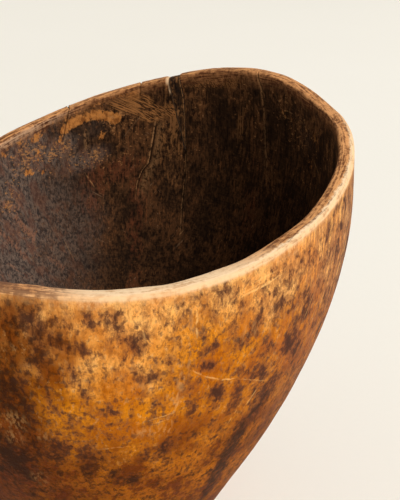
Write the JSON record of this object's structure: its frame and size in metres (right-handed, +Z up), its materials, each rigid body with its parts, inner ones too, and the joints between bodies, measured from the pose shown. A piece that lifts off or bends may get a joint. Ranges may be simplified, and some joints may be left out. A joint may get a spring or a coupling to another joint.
{
  "type": "carved wooden bowl",
  "caption": "Deep carved wooden bowl with a wavy hand-cut rim, a small flat foot and a mended split in its rim.",
  "frame": {"origin": "centre of the flat foot, on the surface the bowl stands on", "axes": "+Z up along the bowl's axis; +X to the right and +Y away from the viewer, so that the mended split is at the back"},
  "size_m": [0.3382, 0.3407, 0.291],
  "materials": {
    "carved_wood": "semi-gloss worn patina, amber with dark mottling outside and near black inside",
    "mend_wood": "dull greenish brown, streaked",
    "resin": "dark brown, slightly glossy"
  },
  "bodies": {
    "root": {"bowl": "carved_wood", "rim_sliver": "mend_wood", "seam_resin": "resin"}
  },
  "joints": []
}
